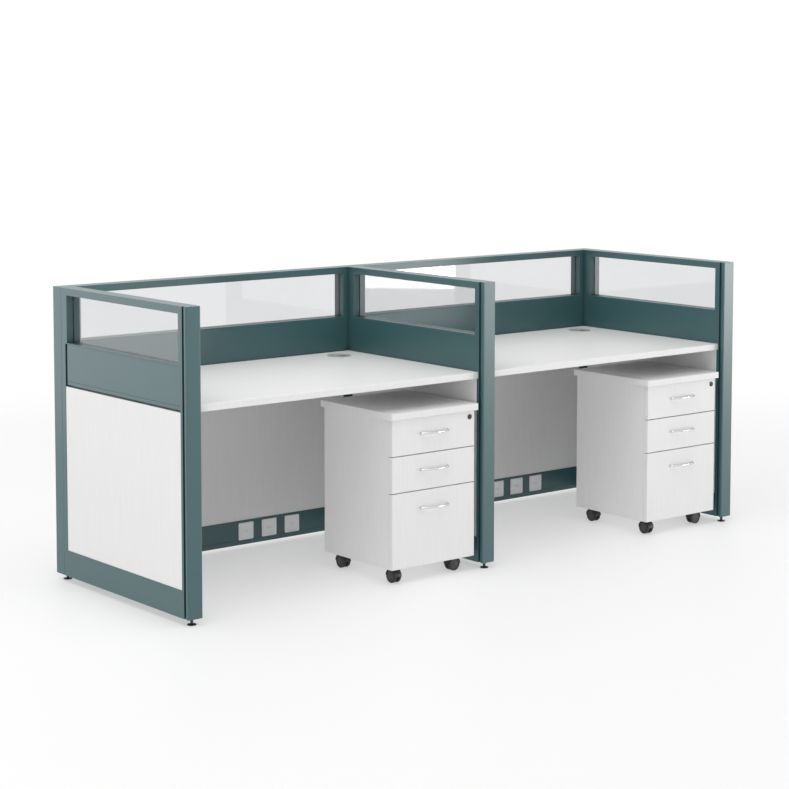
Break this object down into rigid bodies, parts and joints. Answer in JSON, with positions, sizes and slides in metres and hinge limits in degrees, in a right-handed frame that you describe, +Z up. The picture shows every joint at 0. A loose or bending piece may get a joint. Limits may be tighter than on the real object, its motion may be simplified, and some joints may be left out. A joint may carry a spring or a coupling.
{
  "type": "cubicle workstation",
  "caption": "Two-bay office cubicle with steel and glass partitions, worktops, sockets in a base wireway and three-drawer pedestals on swivelling casters.",
  "frame": {"origin": "on the floor under the middle of the whole workstation, length and depth", "axes": "+X to the right along the back wall, +Y from the open front to the back wall, +Z up"},
  "size_m": [2.7, 0.904, 1.09],
  "materials": {
    "powder_coat": "teal-grey powder coat, satin",
    "window_glass": "clear float glass, polished",
    "white_board": "white melamine-faced chipboard, satin",
    "drawer_board": "pale grey melamine-faced board",
    "grey_plastic": "moulded grey ABS",
    "socket_plastic": "glossy white moulding",
    "black_plastic": "moulded black nylon",
    "wheel_plastic": "moulded black nylon, worn tread",
    "bracket_steel": "zinc-plated sheet steel",
    "chrome": "polished chrome plate"
  },
  "bodies": {
    "workstation": {"left_side_frame": "powder_coat", "middle_side_frame": "powder_coat", "right_side_frame": "powder_coat", "back_frame_left": "powder_coat", "back_frame_right": "powder_coat", "back_posts": "powder_coat", "front_trims": "powder_coat", "glass_panes": "window_glass", "infill_panels": "white_board", "wireway_covers": "powder_coat", "left_worktop": "white_board", "right_worktop": "white_board", "grommet_sleeves": "grey_plastic", "socket_outlets": "socket_plastic", "levelling_feet": "black_plastic", "desk_brackets": "bracket_steel"},
    "left_grommet_cap": {"left_grommet_cap": "grey_plastic"},
    "right_grommet_cap": {"right_grommet_cap": "grey_plastic"},
    "left_pedestal": {"left_pedestal_carcass": "white_board", "left_pedestal_top": "white_board", "left_runner_rails": "bracket_steel"},
    "left_upper_drawer": {"left_upper_drawer_box": "drawer_board", "left_upper_drawer_front": "white_board", "left_upper_drawer_handle": "chrome"},
    "left_middle_drawer": {"left_middle_drawer_box": "drawer_board", "left_middle_drawer_front": "white_board", "left_middle_drawer_handle": "chrome"},
    "left_file_drawer": {"left_file_drawer_box": "drawer_board", "left_file_drawer_front": "white_board", "left_file_drawer_handle": "chrome"},
    "left_drawer_lock": {"left_drawer_lock": "black_plastic"},
    "left_front_left_caster": {"left_front_left_caster_housing": "black_plastic"},
    "left_front_left_caster_wheels": {"left_front_left_caster_wheels": "wheel_plastic"},
    "left_front_right_caster": {"left_front_right_caster_housing": "black_plastic"},
    "left_front_right_caster_wheels": {"left_front_right_caster_wheels": "wheel_plastic"},
    "left_rear_left_caster": {"left_rear_left_caster_housing": "black_plastic"},
    "left_rear_left_caster_wheels": {"left_rear_left_caster_wheels": "wheel_plastic"},
    "left_rear_right_caster": {"left_rear_right_caster_housing": "black_plastic"},
    "left_rear_right_caster_wheels": {"left_rear_right_caster_wheels": "wheel_plastic"},
    "right_pedestal": {"right_pedestal_carcass": "white_board", "right_pedestal_top": "white_board", "right_runner_rails": "bracket_steel"},
    "right_upper_drawer": {"right_upper_drawer_box": "drawer_board", "right_upper_drawer_front": "white_board", "right_upper_drawer_handle": "chrome"},
    "right_middle_drawer": {"right_middle_drawer_box": "drawer_board", "right_middle_drawer_front": "white_board", "right_middle_drawer_handle": "chrome"},
    "right_file_drawer": {"right_file_drawer_box": "drawer_board", "right_file_drawer_front": "white_board", "right_file_drawer_handle": "chrome"},
    "right_drawer_lock": {"right_drawer_lock": "black_plastic"},
    "right_front_left_caster": {"right_front_left_caster_housing": "black_plastic"},
    "right_front_left_caster_wheels": {"right_front_left_caster_wheels": "wheel_plastic"},
    "right_front_right_caster": {"right_front_right_caster_housing": "black_plastic"},
    "right_front_right_caster_wheels": {"right_front_right_caster_wheels": "wheel_plastic"},
    "right_rear_left_caster": {"right_rear_left_caster_housing": "black_plastic"},
    "right_rear_left_caster_wheels": {"right_rear_left_caster_wheels": "wheel_plastic"},
    "right_rear_right_caster": {"right_rear_right_caster_housing": "black_plastic"},
    "right_rear_right_caster_wheels": {"right_rear_right_caster_wheels": "wheel_plastic"}
  },
  "joints": [
    {"name": "left_grommet_cap_turn", "type": "hinge", "parent": "workstation", "child": "left_grommet_cap", "pos_m": [-0.16, 0.283, 0.75], "axis": [0, 0, 1], "continuous": true},
    {"name": "left_pedestal_roll_out", "type": "slide", "parent": "workstation", "child": "left_pedestal", "axis": [0, -1, 0], "range_m": [0, 0.45]},
    {"name": "left_upper_drawer_slide", "type": "slide", "parent": "left_pedestal", "child": "left_upper_drawer", "axis": [0, -1, 0], "range_m": [0, 0.3]},
    {"name": "left_middle_drawer_slide", "type": "slide", "parent": "left_pedestal", "child": "left_middle_drawer", "axis": [0, -1, 0], "range_m": [0, 0.3]},
    {"name": "left_file_drawer_slide", "type": "slide", "parent": "left_pedestal", "child": "left_file_drawer", "axis": [0, -1, 0], "range_m": [0, 0.3]},
    {"name": "left_lock_turn", "type": "hinge", "parent": "left_upper_drawer", "child": "left_drawer_lock", "pos_m": [-0.085, -0.424, 0.5885], "axis": [0, 1, 0], "range_deg": [0, 90]},
    {"name": "left_front_left_caster_swivel", "type": "hinge", "parent": "left_pedestal", "child": "left_front_left_caster", "pos_m": [-0.413, -0.364, 0.057], "axis": [0, 0, 1], "continuous": true},
    {"name": "left_front_left_caster_roll", "type": "hinge", "parent": "left_front_left_caster", "child": "left_front_left_caster_wheels", "pos_m": [-0.413, -0.379, 0.025], "axis": [-1, 0, 0], "continuous": true},
    {"name": "left_front_right_caster_swivel", "type": "hinge", "parent": "left_pedestal", "child": "left_front_right_caster", "pos_m": [-0.104, -0.364, 0.057], "axis": [0, 0, 1], "continuous": true},
    {"name": "left_front_right_caster_roll", "type": "hinge", "parent": "left_front_right_caster", "child": "left_front_right_caster_wheels", "pos_m": [-0.119, -0.364, 0.025], "axis": [0, 1, 0], "continuous": true},
    {"name": "left_rear_left_caster_swivel", "type": "hinge", "parent": "left_pedestal", "child": "left_rear_left_caster", "pos_m": [-0.413, -0.058, 0.057], "axis": [0, 0, 1], "continuous": true},
    {"name": "left_rear_left_caster_roll", "type": "hinge", "parent": "left_rear_left_caster", "child": "left_rear_left_caster_wheels", "pos_m": [-0.413, -0.073, 0.025], "axis": [-1, 0, 0], "continuous": true},
    {"name": "left_rear_right_caster_swivel", "type": "hinge", "parent": "left_pedestal", "child": "left_rear_right_caster", "pos_m": [-0.104, -0.058, 0.057], "axis": [0, 0, 1], "continuous": true},
    {"name": "left_rear_right_caster_roll", "type": "hinge", "parent": "left_rear_right_caster", "child": "left_rear_right_caster_wheels", "pos_m": [-0.104, -0.043, 0.025], "axis": [1, 0, 0], "continuous": true},
    {"name": "right_grommet_cap_turn", "type": "hinge", "parent": "workstation", "child": "right_grommet_cap", "pos_m": [1.16, 0.283, 0.75], "axis": [0, 0, 1], "continuous": true},
    {"name": "right_pedestal_roll_out", "type": "slide", "parent": "workstation", "child": "right_pedestal", "axis": [0, -1, 0], "range_m": [0, 0.45]},
    {"name": "right_upper_drawer_slide", "type": "slide", "parent": "right_pedestal", "child": "right_upper_drawer", "axis": [0, -1, 0], "range_m": [0, 0.3]},
    {"name": "right_middle_drawer_slide", "type": "slide", "parent": "right_pedestal", "child": "right_middle_drawer", "axis": [0, -1, 0], "range_m": [0, 0.3]},
    {"name": "right_file_drawer_slide", "type": "slide", "parent": "right_pedestal", "child": "right_file_drawer", "axis": [0, -1, 0], "range_m": [0, 0.3]},
    {"name": "right_lock_turn", "type": "hinge", "parent": "right_upper_drawer", "child": "right_drawer_lock", "pos_m": [1.235, -0.424, 0.5885], "axis": [0, 1, 0], "range_deg": [0, 90]},
    {"name": "right_front_left_caster_swivel", "type": "hinge", "parent": "right_pedestal", "child": "right_front_left_caster", "pos_m": [0.907, -0.364, 0.057], "axis": [0, 0, 1], "continuous": true},
    {"name": "right_front_left_caster_roll", "type": "hinge", "parent": "right_front_left_caster", "child": "right_front_left_caster_wheels", "pos_m": [0.907, -0.379, 0.025], "axis": [-1, 0, 0], "continuous": true},
    {"name": "right_front_right_caster_swivel", "type": "hinge", "parent": "right_pedestal", "child": "right_front_right_caster", "pos_m": [1.216, -0.364, 0.057], "axis": [0, 0, 1], "continuous": true},
    {"name": "right_front_right_caster_roll", "type": "hinge", "parent": "right_front_right_caster", "child": "right_front_right_caster_wheels", "pos_m": [1.201, -0.364, 0.025], "axis": [0, 1, 0], "continuous": true},
    {"name": "right_rear_left_caster_swivel", "type": "hinge", "parent": "right_pedestal", "child": "right_rear_left_caster", "pos_m": [0.907, -0.058, 0.057], "axis": [0, 0, 1], "continuous": true},
    {"name": "right_rear_left_caster_roll", "type": "hinge", "parent": "right_rear_left_caster", "child": "right_rear_left_caster_wheels", "pos_m": [0.907, -0.073, 0.025], "axis": [-1, 0, 0], "continuous": true},
    {"name": "right_rear_right_caster_swivel", "type": "hinge", "parent": "right_pedestal", "child": "right_rear_right_caster", "pos_m": [1.216, -0.058, 0.057], "axis": [0, 0, 1], "continuous": true},
    {"name": "right_rear_right_caster_roll", "type": "hinge", "parent": "right_rear_right_caster", "child": "right_rear_right_caster_wheels", "pos_m": [1.216, -0.043, 0.025], "axis": [1, 0, 0], "continuous": true}
  ]
}
